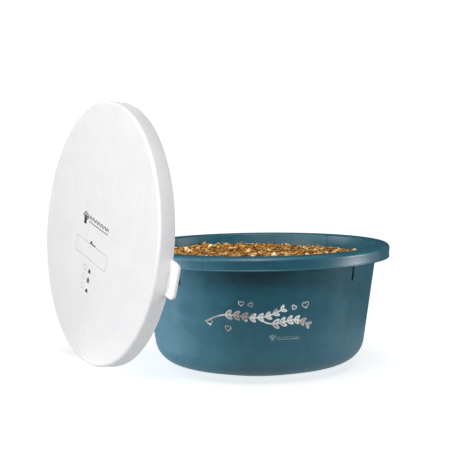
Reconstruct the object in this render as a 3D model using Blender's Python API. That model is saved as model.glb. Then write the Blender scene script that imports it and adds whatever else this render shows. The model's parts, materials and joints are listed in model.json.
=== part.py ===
"""Round feed bowl with its press-on lid, standing filled with a grain mix.

The bowl stands on z = 0 with its axis on the world Z axis. It is one moulding: a flat base, a sloping
underside, a large corner radius, a tapering wall and a wide rim that turns down in an outer band, with
four gusset ribs under the rim whose tails run a little way down the wall. The lid is one moulding too:
a flat face, a skirt that grips the outer band, and a pull tab at the skirt's free edge. It stands on
that edge on the -X side and leans on the rim. It tips about Y, away from the bowl, until it lies on its
face. All sizes are in metres.
"""

import math

import bmesh
import bpy
from mathutils import Matrix, Vector

# Bowl
BOWL_HEIGHT = 0.158
MOUTH_RADIUS = 0.1513        # inside of the wall, in the plane of the rim's top
WALL_TAPER = math.radians(8.3)
BOWL_WALL = 0.0028
BASE_RADIUS = 0.0795
UNDERSIDE_SLOPE = math.radians(13.8)
CORNER_RADIUS = 0.0314       # outside, between the underside and the wall
BASE_EDGE_RADIUS = 0.004
RIM_WIDTH = 0.0187           # from the inside of the wall to the outside of the band
RIM_THICKNESS = 0.0026
RIM_EDGE_RADIUS = 0.005
MOUTH_EDGE_RADIUS = 0.0022
BAND_HEIGHT = 0.0165
BAND_WALL = 0.0024
BAND_DRAFT = 0.001           # the band's lower edge is this much nearer the axis

# Gusset ribs under the rim
RIB_COUNT = 4
RIB_THICKNESS = 0.002
RIB_DROP = 0.021             # how far a rib's tail runs down the wall below the band
RIB_TAIL = 0.0022            # how far the tail stands out from the wall
RIB_HIDDEN = 0.0015          # how far above the band's lower edge the rib's wide part starts
RIB_FIRST = math.radians(-73.5)   # the first rib's place round the Z axis

# Lid
LID_CLEARANCE = 0.0006       # between the band and the skirt when the lid is pressed on
LID_WALL = 0.0022
LID_SNAP = 0.0029            # how far the skirt reaches past the band's lower edge
LID_EDGE_RADIUS = 0.004
TAB_WIDTH = 0.045
TAB_LENGTH = 0.020
TAB_THICKNESS = 0.004
TAB_CORNER = 0.009
TAB_BELOW_LEVEL = math.radians(13.75)
LEAN = math.radians(5.0)
LID_SIDEWAYS = 0.110         # from the bowl's axis to the lid's, along Y
TOUCH_GAP = 0.0003

# Feed
FEED_BELOW_RIM = 0.0155
FEED_GAP = 0.0003

# Resolution
SEGMENTS = 64
CORNER_STEPS = 6
EDGE_STEPS = 3
SMOOTH_ANGLE = math.radians(35)

# Worked out from the sizes above
RIM_RADIUS = MOUTH_RADIUS + RIM_WIDTH
LID_INNER_RADIUS = RIM_RADIUS + LID_CLEARANCE
LID_RADIUS = LID_INNER_RADIUS + LID_WALL
LID_DEPTH = LID_WALL + BAND_HEIGHT + LID_SNAP


def clear_scene():
    """Remove every object that the file opened with."""
    for obj in list(bpy.data.objects):
        bpy.data.objects.remove(obj, do_unlink=True)


def plastic(name, colour, roughness):
    """A dyed plastic, or a dry matt solid, as one Principled BSDF."""
    material = bpy.data.materials.new(name)
    material.use_nodes = True
    shader = material.node_tree.nodes["Principled BSDF"]
    shader.inputs["Base Color"].default_value = (*colour, 1.0)
    shader.inputs["Roughness"].default_value = roughness
    shader.inputs["Metallic"].default_value = 0.0
    return material


def rounded(corners):
    """The outline through (r, z, radius, steps) corners, each one filleted by its radius."""
    outline = []
    last = len(corners) - 1
    for i, (r, z, radius, steps) in enumerate(corners):
        here = Vector((r, z))
        if radius == 0 or i in (0, last):
            outline.append(here)
            continue
        back = (Vector(corners[i - 1][:2]) - here).normalized()
        on = (Vector(corners[i + 1][:2]) - here).normalized()
        half = back.angle(on) / 2
        centre = here + (back + on).normalized() * radius / math.sin(half)
        first = here + back * radius / math.tan(half) - centre
        final = here + on * radius / math.tan(half) - centre
        sweep = first.angle_signed(final)
        for step in range(steps + 1):
            turn = Matrix.Rotation(-sweep * step / steps, 2)
            outline.append(centre + turn @ first)
    return outline


def turned(outline, offset=Vector((0, 0, 0))):
    """A closed body turned about the Z axis from an outline that starts and ends on that axis."""
    bm = bmesh.new()
    points = [bm.verts.new((p.x, 0, p.y)) for p in outline]
    edges = [bm.edges.new(pair) for pair in zip(points, points[1:])]
    bmesh.ops.spin(
        bm, geom=points + edges, cent=(0, 0, 0), axis=(0, 0, 1),
        angle=math.tau, steps=SEGMENTS, use_merge=True, use_duplicate=False,
    )
    bmesh.ops.remove_doubles(bm, verts=bm.verts, dist=1e-6)
    bmesh.ops.recalc_face_normals(bm, faces=bm.faces)
    bmesh.ops.translate(bm, verts=bm.verts, vec=offset)
    return bm


def plate(corners, thickness, place):
    """A flat plate: corners in its own X and Y, thick from z = 0 upwards, put in place by a matrix."""
    bm = bmesh.new()
    face = bm.faces.new([bm.verts.new((x, y, 0)) for x, y in corners])
    grown = bmesh.ops.extrude_face_region(bm, geom=[face])["geom"]
    bmesh.ops.translate(
        bm, verts=[v for v in grown if isinstance(v, bmesh.types.BMVert)], vec=(0, 0, thickness)
    )
    bmesh.ops.recalc_face_normals(bm, faces=bm.faces)
    bmesh.ops.transform(bm, matrix=place, verts=bm.verts)
    return bm


def add_object(name, bm, material):
    """Make an object with smooth round faces from a bmesh."""
    mesh = bpy.data.meshes.new(name)
    bm.to_mesh(mesh)
    bm.free()
    mesh.shade_smooth()
    mesh.set_sharp_from_angle(angle=SMOOTH_ANGLE)
    mesh.materials.append(material)
    obj = bpy.data.objects.new(name, mesh)
    bpy.context.scene.collection.objects.link(obj)
    return obj


def weld_on(body, name, bm, material):
    """Join a plate to a body as one moulding; the plate stays in the file as a wire guide."""
    guide = add_object(name, bm, material)
    guide.hide_render = True
    guide.display_type = "WIRE"
    guide.location = body.location
    guide.rotation_euler = body.rotation_euler
    union = body.modifiers.new(name, "BOOLEAN")
    union.operation = "UNION"
    union.object = guide


def wall_radius(z, outside=0.0):
    """Radius at height z of a cone parallel to the wall's inside and further out by the given amount."""
    at_rim = MOUTH_RADIUS + outside / math.cos(WALL_TAPER)
    return at_rim - (BOWL_HEIGHT - z) * math.tan(WALL_TAPER)


def lower_corners(outside):
    """Base edge and wall foot of the bowl's shape, taken the given amount outside its inner surface."""
    base_z = BOWL_WALL - outside
    slope = math.tan(UNDERSIDE_SLOPE)
    stretch = 1 - 1 / math.cos(UNDERSIDE_SLOPE)
    base_r = BASE_RADIUS + (BOWL_WALL - outside) * stretch / slope
    across = wall_radius(base_z, outside) - base_r
    foot_z = across * slope / (1 - math.tan(WALL_TAPER) * slope) + base_z
    return (base_r, base_z), (wall_radius(foot_z, outside), foot_z)


def bowl_outline():
    """The bowl's section, from the base's centre out, over the rim and back down the inside."""
    base, foot = lower_corners(BOWL_WALL)
    inner_base, inner_foot = lower_corners(0.0)
    under_rim = BOWL_HEIGHT - RIM_THICKNESS
    band_foot = BOWL_HEIGHT - BAND_HEIGHT
    band_inside = RIM_RADIUS - BAND_WALL
    return rounded([
        (0, 0, 0, 0),
        (*base, BASE_EDGE_RADIUS, EDGE_STEPS),
        (*foot, CORNER_RADIUS, CORNER_STEPS),
        (wall_radius(under_rim, BOWL_WALL), under_rim, 0, 0),
        (band_inside, under_rim, 0, 0),
        (band_inside - BAND_DRAFT, band_foot, 0, 0),
        (RIM_RADIUS - BAND_DRAFT, band_foot, 0, 0),
        (RIM_RADIUS, BOWL_HEIGHT, RIM_EDGE_RADIUS, EDGE_STEPS),
        (MOUTH_RADIUS, BOWL_HEIGHT, MOUTH_EDGE_RADIUS, EDGE_STEPS),
        (*inner_foot, CORNER_RADIUS - BOWL_WALL, CORNER_STEPS),
        (*inner_base, 0, 0),
        (0, BOWL_WALL, 0, 0),
    ])


def build_bowl(material):
    """The bowl, with its gusset ribs joined on under the rim."""
    bowl = add_object("bowl", turned(bowl_outline()), material)
    top = BOWL_HEIGHT - RIM_THICKNESS / 2
    band_foot = BOWL_HEIGHT - BAND_HEIGHT
    low = band_foot - RIB_DROP
    buried = BOWL_WALL / 2
    reach = RIM_RADIUS - BAND_DRAFT - BAND_WALL / 2
    shoulder = band_foot + RIB_HIDDEN
    corners = [
        (wall_radius(low, buried), low),
        (wall_radius(low, BOWL_WALL + RIB_TAIL), low),
        (wall_radius(shoulder, BOWL_WALL + RIB_TAIL), shoulder),
        (reach, shoulder),
        (reach, top),
        (wall_radius(top, buried), top),
    ]
    upright = Matrix.Translation((0, RIB_THICKNESS / 2, 0)) @ Matrix.Rotation(math.pi / 2, 4, "X")
    for i in range(RIB_COUNT):
        turn = RIB_FIRST + math.tau * i / RIB_COUNT
        place = Matrix.Rotation(turn, 4, "Z") @ upright
        weld_on(bowl, f"gusset_rib_{i + 1}", plate(corners, RIB_THICKNESS, place), material)
    return bowl


def build_feed(material):
    """The grain mix: one solid that fills the bowl's inside up to a level below the rim."""
    top = BOWL_HEIGHT - FEED_BELOW_RIM
    base, foot = lower_corners(-FEED_GAP)
    outline = rounded([
        (0, base[1], 0, 0),
        (*base, 0, 0),
        (*foot, CORNER_RADIUS - BOWL_WALL - FEED_GAP, CORNER_STEPS),
        (wall_radius(top, -FEED_GAP), top, 0, 0),
        (0, top, 0, 0),
    ])
    return add_object("feed_mix", turned(outline), material)


def lid_outline():
    """The lid's section with its face up and the face's centre at the origin."""
    inner_edge = LID_EDGE_RADIUS - LID_WALL
    return rounded([
        (0, -LID_WALL, 0, 0),
        (LID_INNER_RADIUS, -LID_WALL, inner_edge, EDGE_STEPS),
        (LID_INNER_RADIUS, -LID_DEPTH, 0, 0),
        (LID_RADIUS, -LID_DEPTH, 0, 0),
        (LID_RADIUS, 0, LID_EDGE_RADIUS, EDGE_STEPS),
        (0, 0, 0, 0),
    ])


def tab_outline():
    """The pull tab from above: it starts inside the skirt's wall and ends in two round corners."""
    half = TAB_WIDTH / 2
    root = math.sqrt(LID_RADIUS**2 - half**2) - LID_WALL / 2
    tip = LID_RADIUS + TAB_LENGTH
    points = rounded([
        (root, -half, 0, 0),
        (tip, -half, TAB_CORNER, CORNER_STEPS),
        (tip, half, TAB_CORNER, CORNER_STEPS),
        (root, half, 0, 0),
    ])
    return [tuple(p) for p in points]


def lid_pivot():
    """Where the lid's tipping axis is, and where the face's centre is from it in the lid's own frame.

    The axis is level with the face's edge radius, so the skirt's free edge is on the floor when the lid
    leans and the whole face is on the floor when it lies down.
    """
    depth = LID_EDGE_RADIUS
    behind = LID_DEPTH - depth
    above_edge = (depth - behind * math.sin(LEAN)) / math.cos(LEAN)
    centre_height = LID_RADIUS * math.cos(LEAN) + LID_DEPTH * math.sin(LEAN)
    free_edge_height = centre_height - LID_DEPTH * math.sin(LEAN)
    touch_height = BOWL_HEIGHT - RIM_EDGE_RADIUS
    along_face = (free_edge_height - touch_height) / math.cos(LEAN)
    half_chord = math.sqrt(LID_INNER_RADIUS**2 - along_face**2)
    rim_y = LID_SIDEWAYS - half_chord
    rim_x = math.sqrt(RIM_RADIUS**2 - rim_y**2)
    skirt_touches = rim_x + TOUCH_GAP
    face_touches = RIM_RADIUS + TOUCH_GAP - (LID_DEPTH - LID_WALL) / math.cos(LEAN)
    stand = max(skirt_touches, face_touches) + touch_height * math.tan(LEAN)
    x = -stand - behind * math.cos(LEAN) + above_edge * math.sin(LEAN)
    pivot = Vector((x, LID_SIDEWAYS, depth))
    centre = Vector((LID_RADIUS - above_edge, 0, depth))
    return pivot, centre


def build_lid(material):
    """The lid with its tab, its origin on the tipping axis, leaning on the rim."""
    pivot, centre = lid_pivot()
    lid = add_object("lid", turned(lid_outline(), centre), material)
    outwards = Matrix.Rotation(-math.pi / 2 - TAB_BELOW_LEVEL, 4, "Z")
    place = Matrix.Translation(centre - Vector((0, 0, LID_DEPTH))) @ outwards
    tab = plate(tab_outline(), TAB_THICKNESS, place)
    lid.location = pivot
    lid.rotation_euler = (0, LEAN - math.pi / 2, 0)
    weld_on(lid, "pull_tab", tab, material)
    return lid


def main():
    """Build the three pieces."""
    clear_scene()
    teal = plastic("teal_polypropylene", (0.035, 0.118, 0.152), 0.38)
    white = plastic("white_polypropylene", (0.86, 0.86, 0.87), 0.42)
    grain = plastic("grain_mix", (0.33, 0.19, 0.08), 0.85)
    build_bowl(teal)
    build_feed(grain)
    build_lid(white)


main()
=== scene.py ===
"""Looks of a round teal feed bowl filled with grain mix, its white press-on lid leaning on the rim.

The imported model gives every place: the bowl stands on z = 0 with its axis on the world Z axis, and the
lid leans on the -X side. Sizes are in metres; print layouts are in millimetres where their names say so.
"""

import json
import logging
import math
from dataclasses import dataclass, field
from enum import Enum
from typing import Any, Callable, Iterable, Sequence

import bpy
import numpy as np
from mathutils import Matrix, Vector

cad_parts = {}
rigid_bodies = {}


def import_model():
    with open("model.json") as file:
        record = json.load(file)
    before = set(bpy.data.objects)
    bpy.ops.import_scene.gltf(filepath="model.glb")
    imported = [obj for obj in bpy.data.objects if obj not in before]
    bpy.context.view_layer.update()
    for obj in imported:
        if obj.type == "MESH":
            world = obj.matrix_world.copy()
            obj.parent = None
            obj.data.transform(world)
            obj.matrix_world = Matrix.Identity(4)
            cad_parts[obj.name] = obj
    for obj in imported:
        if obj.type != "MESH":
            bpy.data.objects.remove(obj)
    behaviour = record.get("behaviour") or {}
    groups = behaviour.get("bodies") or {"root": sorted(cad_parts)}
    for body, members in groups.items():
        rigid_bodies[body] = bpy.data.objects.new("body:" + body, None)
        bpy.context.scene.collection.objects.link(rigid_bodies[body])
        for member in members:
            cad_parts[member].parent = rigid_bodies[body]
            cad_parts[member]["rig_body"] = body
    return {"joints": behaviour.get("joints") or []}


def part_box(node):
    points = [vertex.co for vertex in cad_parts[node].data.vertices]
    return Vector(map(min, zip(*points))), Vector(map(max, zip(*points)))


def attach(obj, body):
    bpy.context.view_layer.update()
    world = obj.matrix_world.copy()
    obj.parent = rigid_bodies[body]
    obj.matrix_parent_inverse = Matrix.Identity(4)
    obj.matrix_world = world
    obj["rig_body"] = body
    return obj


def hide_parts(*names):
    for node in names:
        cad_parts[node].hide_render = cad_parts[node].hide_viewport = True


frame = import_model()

LOG = logging.getLogger("feed_bowl")
MM = 0.001
ROUND_STEPS = 192            # segments round a turned piece
SMOOTH_ANGLE = math.radians(32)
SEED = 20417

Corner = tuple[float, float, float, int]
Flat = tuple[float, float]


class Body(str, Enum):
    """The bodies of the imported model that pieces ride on."""

    BOWL = "bowl"
    LID = "lid"


# ----------------------------------------------------------------------------------------------
# Small helpers
# ----------------------------------------------------------------------------------------------


def linear(colour: str, alpha: float = 1.0) -> tuple[float, float, float, float]:
    """Turn an sRGB hex colour into linear light.

    Args:
        colour: six hex digits, such as "2F5A66".
        alpha: the fourth number.

    Returns:
        Red, green, blue and alpha.
    """
    levels = [int(colour[i:i + 2], 16) / 255 for i in (0, 2, 4)]
    red, green, blue = (c / 12.92 if c <= 0.04045 else ((c + 0.055) / 1.055) ** 2.4 for c in levels)
    return red, green, blue, alpha


def add_node(
    tree: bpy.types.NodeTree,
    kind: str,
    settings: dict[str, Any] | None = None,
    inputs: dict[str | int, Any] | None = None,
    stops: Sequence[tuple[float, str]] = (),
) -> bpy.types.Node:
    """Add a node to a tree, set it up and link what feeds it.

    Args:
        tree: the node tree.
        kind: the node's type name.
        settings: properties of the node.
        inputs: for each input, an output socket to link, or the value to set.
        stops: positions and hex colours for a colour ramp.

    Returns:
        The new node.
    """
    made = tree.nodes.new(kind)
    for name, value in (settings or {}).items():
        setattr(made, name, value)
    for key, value in (inputs or {}).items():
        if isinstance(value, bpy.types.NodeSocket):
            tree.links.new(value, made.inputs[key])
        else:
            made.inputs[key].default_value = value
    for i, (position, colour) in enumerate(stops):
        elements = made.color_ramp.elements
        stop = elements[i] if i < 2 else elements.new(position)
        stop.position = position
        stop.color = linear(colour)
    return made


def new_material(name: str) -> tuple[bpy.types.Material, bpy.types.NodeTree, bpy.types.Node, Any]:
    """Make a material with an empty Principled shader.

    Args:
        name: the material's name.

    Returns:
        The material, its tree, its shader and its Object coordinates.
    """
    material = bpy.data.materials.new(name)
    material.use_nodes = True
    tree = material.node_tree
    shader = tree.nodes["Principled BSDF"]
    place = add_node(tree, "ShaderNodeTexCoord").outputs["Object"]
    return material, tree, shader, place


def deselect_all() -> None:
    """Deselect every object, so that an operator acts only on what is made next."""
    for obj in bpy.context.selected_objects:
        obj.select_set(False)


def use_only(obj: bpy.types.Object) -> None:
    """Make one object the selected and active one."""
    deselect_all()
    obj.select_set(True)
    bpy.context.view_layer.objects.active = obj


def draw_line(points: Sequence[Vector]) -> None:
    """Draw a chain of edges in the mesh that is being edited.

    Args:
        points: the places that the chain runs through.
    """
    bpy.ops.mesh.select_all(action="DESELECT")
    bpy.ops.mesh.primitive_plane_add(size=MM, location=points[0])
    bpy.ops.mesh.merge(type="CENTER")
    for here, there in zip(points, points[1:]):
        bpy.ops.mesh.extrude_vertices_move(TRANSFORM_OT_translate={"value": there - here})


def start_mesh(name: str) -> bpy.types.Object:
    """Add an empty mesh object and enter its edit mode."""
    deselect_all()
    bpy.ops.mesh.primitive_plane_add(size=MM)
    obj = bpy.context.active_object
    obj.name = name
    bpy.ops.object.mode_set(mode="EDIT")
    bpy.ops.mesh.select_mode(type="VERT")
    bpy.ops.mesh.delete(type="VERT")
    return obj


def rounded(corners: Sequence[Corner]) -> list[Vector]:
    """Fillet an outline.

    Args:
        corners: (across, up, radius, steps) of each corner; the first and last stay sharp.

    Returns:
        The outline's points.
    """
    outline = []
    last = len(corners) - 1
    for i, (across, up, radius, steps) in enumerate(corners):
        here = Vector((across, up))
        if radius == 0 or i in (0, last):
            outline.append(here)
            continue
        back = (Vector(corners[i - 1][:2]) - here).normalized()
        on = (Vector(corners[i + 1][:2]) - here).normalized()
        half = back.angle(on) / 2
        centre = here + (back + on).normalized() * radius / math.sin(half)
        first = here + back * radius / math.tan(half) - centre
        final = here + on * radius / math.tan(half) - centre
        sweep = first.angle_signed(final)
        for step in range(steps + 1):
            outline.append(centre + Matrix.Rotation(-sweep * step / steps, 2) @ first)
    return outline


def turn_profile(name: str, outline: Sequence[Vector]) -> bpy.types.Object:
    """Turn an outline that starts and ends on the Z axis into a closed round piece.

    Args:
        name: the piece's name.
        outline: (radius, height) points.

    Returns:
        The piece.
    """
    obj = start_mesh(name)
    draw_line([Vector((p.x, 0, p.y)) for p in outline])
    bpy.ops.mesh.select_all(action="SELECT")
    bpy.ops.mesh.spin(steps=ROUND_STEPS, angle=math.tau, center=(0, 0, 0), axis=(0, 0, 1))
    bpy.ops.mesh.select_all(action="SELECT")
    bpy.ops.mesh.remove_doubles(threshold=1e-6)
    bpy.ops.mesh.normals_make_consistent(inside=False)
    bpy.ops.object.mode_set(mode="OBJECT")
    return obj


def cut_plate(name: str, outline: Sequence[Vector], thickness: float, edge: float) -> bpy.types.Object:
    """Make a flat plate with rounded edges, from z = 0 upwards.

    Args:
        name: the piece's name.
        outline: its corners, counter-clockwise, in its own X and Y.
        thickness: how thick it is.
        edge: radius of its edges.

    Returns:
        The plate.
    """
    obj = start_mesh(name)
    draw_line([Vector((p.x, p.y, 0)) for p in (*outline, outline[0])])
    bpy.ops.mesh.select_all(action="SELECT")
    bpy.ops.mesh.remove_doubles(threshold=1e-6)
    bpy.ops.mesh.edge_face_add()
    bpy.ops.mesh.extrude_region_move(TRANSFORM_OT_translate={"value": (0, 0, thickness)})
    bpy.ops.mesh.select_all(action="SELECT")
    bpy.ops.mesh.normals_make_consistent(inside=False)
    bpy.ops.object.mode_set(mode="OBJECT")
    bevel = obj.modifiers.new("round_edges", "BEVEL")
    bevel.width = edge
    bevel.segments = 3
    bevel.limit_method = "ANGLE"
    bevel.angle_limit = math.radians(40)
    use_only(obj)
    bpy.ops.object.modifier_apply(modifier=bevel.name)
    return obj


def shape_points(obj: bpy.types.Object, change: Callable[[np.ndarray], np.ndarray]) -> None:
    """Move a mesh's points by a formula.

    Args:
        obj: the piece.
        change: takes and gives an array with a row for each point.
    """
    flat = np.zeros(len(obj.data.vertices) * 3)
    obj.data.vertices.foreach_get("co", flat)
    obj.data.vertices.foreach_set("co", change(flat.reshape(-1, 3)).ravel())
    obj.data.update()


def finish_piece(
    obj: bpy.types.Object,
    body: Body,
    material: bpy.types.Material,
    replaced: Iterable[str] = (),
) -> bpy.types.Object:
    """Shade a piece, dress it and put it on its body.

    Args:
        obj: the piece.
        body: the body that it moves with.
        material: its finish.
        replaced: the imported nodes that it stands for.

    Returns:
        The piece.
    """
    use_only(obj)
    bpy.ops.object.shade_smooth_by_angle(angle=SMOOTH_ANGLE)
    obj.data.materials.clear()
    obj.data.materials.append(material)
    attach(obj, body.value)
    for node in replaced:
        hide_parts(node)
    LOG.info("%s: %d faces on %s", obj.name, len(obj.data.polygons), body.value)
    return obj


# ----------------------------------------------------------------------------------------------
# Finishes
# ----------------------------------------------------------------------------------------------


@dataclass(frozen=True)
class MouldedPolypropylene:
    """Injection-moulded polypropylene: dyed through, satin, with flow swirls, thin streaks and, where
    asked, lines of painted shade along its seams.
    """

    name: str
    dark: str
    light: str
    roughness: float
    gloss: float = 0.78               # the skin's shine, where 0.5 is bare polypropylene
    gloss_drift: float = 0.05         # how far the roughness drifts to each side
    ior: float = 1.49
    swirl: float = 0.055              # size of the flow swirls
    swirl_depth: float = 0.0002
    peel: float = 0.0035              # drawn coarser than the real 1 mm orange peel, so that it shows
    peel_depth: float = 0.00008
    streak_gain: float = 1.13         # how much lighter the thin streaks are
    streak_share: float = 0.022       # how much of the melt's pattern a streak takes up
    rib_first: float | None = None    # where the first rib shows through as a line of painted shade, round the Z axis
    marks: tuple[float, ...] = ()     # places of faint mould lines on the band, drawn in painted shade
    # the dark teal of the painted shade along the seam and rib lines
    seam_shade_colour: str = "0B2A36"
    mark_width: float = 0.0016
    mark_radius: float = 0.15         # about how far out the lines run
    mark_floor: float = 0.0           # the lowest height that a line reaches
    mark_fade: float = 0.004          # how slowly a line ends there
    rib_strength: float = 0.95
    mark_strength: float = 0.28
    mouth_inside: float = 0.0         # lines of the ribs show within this radius
    band_inside: float = 0.0          # lines of the band show outside this radius

    def material(self) -> bpy.types.Material:
        """Make the plastic's material."""
        material, tree, shader, place = new_material(self.name)
        swirl = add_node(tree, "ShaderNodeTexNoise", inputs={
            "Vector": place, "Scale": 1 / self.swirl,
            "Detail": 4.0, "Roughness": 0.55, "Distortion": 2.4,
        }).outputs["Fac"]
        tone = add_node(tree, "ShaderNodeValToRGB", inputs={"Fac": swirl}, stops=[
            (0.34, self.dark), (0.66, self.light),
        ]).outputs["Color"]
        tone = self.melt_streaks(tree, place, tone)
        # painted shade along the mould seams and where the ribs show through the wall
        if self.rib_first is not None:
            tone = self.paint_seam_shade(tree, place, tone)
        peel = add_node(tree, "ShaderNodeTexNoise", inputs={
            "Vector": place, "Scale": 1 / self.peel, "Detail": 2.0,
        }).outputs["Fac"]
        gloss = add_node(tree, "ShaderNodeMapRange", inputs={
            "Value": swirl, "From Min": 0.3, "From Max": 0.7,
            "To Min": self.roughness - self.gloss_drift, "To Max": self.roughness + self.gloss_drift,
        }).outputs["Result"]
        soft = add_node(tree, "ShaderNodeBump", inputs={
            "Height": swirl, "Strength": 0.35, "Distance": self.swirl_depth,
        }).outputs["Normal"]
        grain = add_node(tree, "ShaderNodeBump", inputs={
            "Height": peel, "Normal": soft, "Strength": 0.12, "Distance": self.peel_depth,
        }).outputs["Normal"]
        tree.links.new(tone, shader.inputs["Base Color"])
        tree.links.new(gloss, shader.inputs["Roughness"])
        tree.links.new(grain, shader.inputs["Normal"])
        shader.inputs["IOR"].default_value = self.ior
        shader.inputs["Specular IOR Level"].default_value = self.gloss
        return material

    def melt_streaks(self, tree: bpy.types.NodeTree, place: Any, tone: Any) -> Any:
        """Lighten the plastic along thin curling lines, where fronts of the melt met.

        Args:
            tree: the material's tree.
            place: Object coordinates.
            tone: the colour so far.

        Returns:
            The colour with the streaks.
        """
        curl = add_node(tree, "ShaderNodeTexNoise", inputs={
            "Vector": place, "Scale": 0.7 / self.swirl, "Detail": 1.5, "Distortion": 3.5,
        }).outputs["Fac"]
        off = add_node(tree, "ShaderNodeMath", {"operation": "SUBTRACT"}, {0: curl, 1: 0.5})
        size = add_node(tree, "ShaderNodeMath", {"operation": "ABSOLUTE"}, {0: off.outputs[0]})
        line = add_node(tree, "ShaderNodeMapRange", {"interpolation_type": "SMOOTHSTEP"}, {
            "Value": size.outputs[0], "From Min": 0.0, "From Max": self.streak_share,
            "To Min": 1.0, "To Max": 0.0,
        }).outputs["Result"]
        return add_node(tree, "ShaderNodeHueSaturation", inputs={
            "Color": tone, "Fac": line, "Value": self.streak_gain,
        }).outputs["Color"]

    def paint_seam_shade(self, tree: bpy.types.NodeTree, place: Any, tone: Any) -> Any:
        """Darken the plastic with painted shade on the thin lines that the mould left near the rim.

        Args:
            tree: the material's tree.
            place: Object coordinates.
            tone: the colour so far.

        Returns:
            The colour with the lines.
        """
        xyz = add_node(tree, "ShaderNodeSeparateXYZ", inputs={"Vector": place}).outputs
        turn = add_node(tree, "ShaderNodeMath", {"operation": "ARCTAN2"}, {0: xyz["Y"], 1: xyz["X"]})
        flat = add_node(tree, "ShaderNodeCombineXYZ", inputs={"X": xyz["X"], "Y": xyz["Y"]}).outputs[0]
        away = add_node(tree, "ShaderNodeVectorMath", {"operation": "LENGTH"}, {
            0: flat,
        }).outputs["Value"]
        on_band = add_node(tree, "ShaderNodeMath", {"operation": "GREATER_THAN"}, {
            0: away, 1: self.band_inside,
        })
        in_bowl = add_node(tree, "ShaderNodeMath", {"operation": "LESS_THAN"}, {
            0: away, 1: self.mouth_inside,
        })
        every = [(self.rib_first, math.pi / 4, self.rib_strength, in_bowl)]
        every += [(mark, math.pi, self.mark_strength, on_band) for mark in self.marks]
        reach = add_node(tree, "ShaderNodeMapRange", {"interpolation_type": "SMOOTHSTEP"}, {
            "Value": xyz["Z"], "From Min": self.mark_floor, "From Max": self.mark_floor + self.mark_fade,
        }).outputs["Result"]
        half_turn = self.mark_width / 2 / self.mark_radius
        for angle, half_period, strength, where in every:
            apart = add_node(tree, "ShaderNodeMath", {"operation": "SUBTRACT"}, {
                0: turn.outputs[0], 1: angle,
            })
            wrapped = add_node(tree, "ShaderNodeMath", {"operation": "WRAP"}, {
                0: apart.outputs[0], 1: -half_period, 2: half_period,
            })
            size = add_node(tree, "ShaderNodeMath", {"operation": "ABSOLUTE"}, {0: wrapped.outputs[0]})
            line = add_node(tree, "ShaderNodeMapRange", {"interpolation_type": "SMOOTHSTEP"}, {
                "Value": size.outputs[0], "From Min": half_turn * 0.4, "From Max": half_turn * 1.6,
                "To Min": strength, "To Max": 0.0,
            })
            high = add_node(tree, "ShaderNodeMath", {"operation": "MULTIPLY"}, {
                0: line.outputs["Result"], 1: reach,
            })
            amount = add_node(tree, "ShaderNodeMath", {"operation": "MULTIPLY"}, {
                0: high.outputs[0], 1: where.outputs[0],
            })
            tone = add_node(tree, "ShaderNodeMix", {"data_type": "RGBA"}, {
                "Factor": amount.outputs[0], 6: tone, 7: linear(self.seam_shade_colour),
            }).outputs[2]
        return tone


@dataclass(frozen=True)
class HotFoil:
    """Hot-stamped foil: a bright metal skin whose tint drifts from silver to warm grey; its near-white
    base colour is a painted reflection of the bright studio.
    """

    name: str
    silver: str
    warm: str
    drift: float = 0.030          # how far apart the bright and warm stretches are
    wrinkle: float = 1 / 900      # size of the wrinkles, in metres
    wrinkle_depth: float = 0.00005
    metallic: float = 0.05        # low, so the foil's white is a painted reflection: in soft light the foil looks as white as paint
    roughness: float = 0.3

    def material(self) -> bpy.types.Material:
        """Make the foil's material."""
        material, tree, shader, place = new_material(self.name)
        patch = add_node(tree, "ShaderNodeTexNoise", inputs={
            "Vector": place, "Scale": 1 / self.drift, "Detail": 1.0, "Distortion": 0.8,
        }).outputs["Fac"]
        tint = add_node(tree, "ShaderNodeValToRGB", inputs={"Fac": patch}, stops=[
            (0.45, self.warm), (0.56, self.silver),
        ]).outputs["Color"]
        wrinkle = add_node(tree, "ShaderNodeTexNoise", inputs={
            "Vector": place, "Scale": 1 / self.wrinkle,
        }).outputs["Fac"]
        skin = add_node(tree, "ShaderNodeBump", inputs={
            "Height": wrinkle, "Strength": 0.2, "Distance": self.wrinkle_depth,
        }).outputs["Normal"]
        tree.links.new(tint, shader.inputs["Base Color"])
        tree.links.new(skin, shader.inputs["Normal"])
        shader.inputs["Metallic"].default_value = self.metallic
        shader.inputs["Roughness"].default_value = self.roughness
        return material


@dataclass(frozen=True)
class PadInk:
    """Pad-printed ink: a thin matt film with slight pinholes."""

    name: str
    full: str
    thin: str
    pinhole: float = 1 / 600      # spacing of the pinholes, in metres
    roughness: float = 0.7
    ior: float = 1.45

    def material(self) -> bpy.types.Material:
        """Make the ink's material."""
        material, tree, shader, place = new_material(self.name)
        cover = add_node(tree, "ShaderNodeTexNoise", inputs={
            "Vector": place, "Scale": 1 / self.pinhole, "Detail": 2.0,
        }).outputs["Fac"]
        tint = add_node(tree, "ShaderNodeValToRGB", inputs={"Fac": cover}, stops=[
            (0.35, self.full), (0.8, self.thin),
        ]).outputs["Color"]
        tree.links.new(tint, shader.inputs["Base Color"])
        shader.inputs["Roughness"].default_value = self.roughness
        shader.inputs["IOR"].default_value = self.ior
        return material


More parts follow.
